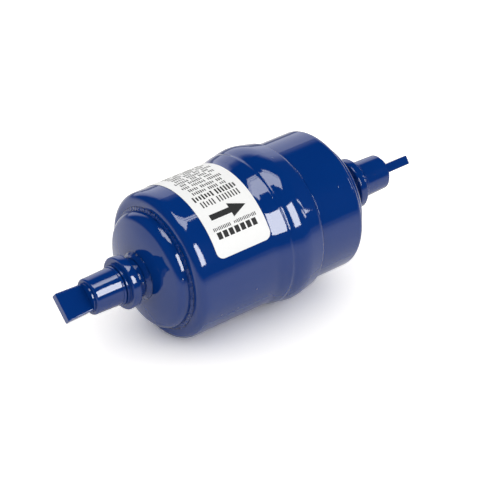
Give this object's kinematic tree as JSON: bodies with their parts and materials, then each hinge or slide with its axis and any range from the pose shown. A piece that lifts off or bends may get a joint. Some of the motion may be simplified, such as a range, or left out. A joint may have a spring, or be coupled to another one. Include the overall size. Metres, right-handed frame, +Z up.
{
  "type": "filter drier",
  "caption": "Inline refrigerant filter drier with a two-part enamelled steel shell, domed ends, threaded flare fittings and pull-off dust caps.",
  "frame": {"origin": "on the flow axis, midway between the two flare collars", "axes": "+X along the flow axis from inlet to outlet, +Z up with the drier lying on its side"},
  "size_m": [0.184, 0.0704, 0.0704],
  "materials": {
    "enamel": "gloss",
    "cap_plastic": "gloss",
    "paper": "satin",
    "steel": "satin",
    "spring_steel": "satin",
    "mesh": "satin",
    "fibre": "matte",
    "desiccant": "matte"
  },
  "bodies": {
    "drier": {"bell_shell": "enamel", "spigot_shell": "enamel", "inlet_head": "enamel", "outlet_head": "enamel", "inlet_seam_bead": "enamel", "outlet_seam_bead": "enamel", "lap_bead": "enamel", "inlet_neck_braze": "enamel", "outlet_neck_braze": "enamel", "inlet_fitting": "enamel", "outlet_fitting": "enamel", "label": "paper", "follower_plate": "steel", "support_plate": "steel", "inlet_pad": "fibre", "outlet_pad": "fibre", "outlet_screen": "mesh", "desiccant_bed": "desiccant", "load_spring": "spring_steel", "outlet_strainer": "mesh"},
    "inlet_cap": {"inlet_dust_cap": "cap_plastic"},
    "outlet_cap": {"outlet_dust_cap": "cap_plastic"}
  },
  "joints": [
    {"name": "inlet_cap_pull", "type": "slide", "parent": "drier", "child": "inlet_cap", "axis": [-1, 0, 0], "range_m": [0, 0.03]},
    {"name": "outlet_cap_pull", "type": "slide", "parent": "drier", "child": "outlet_cap", "axis": [1, 0, 0], "range_m": [0, 0.03]}
  ]
}
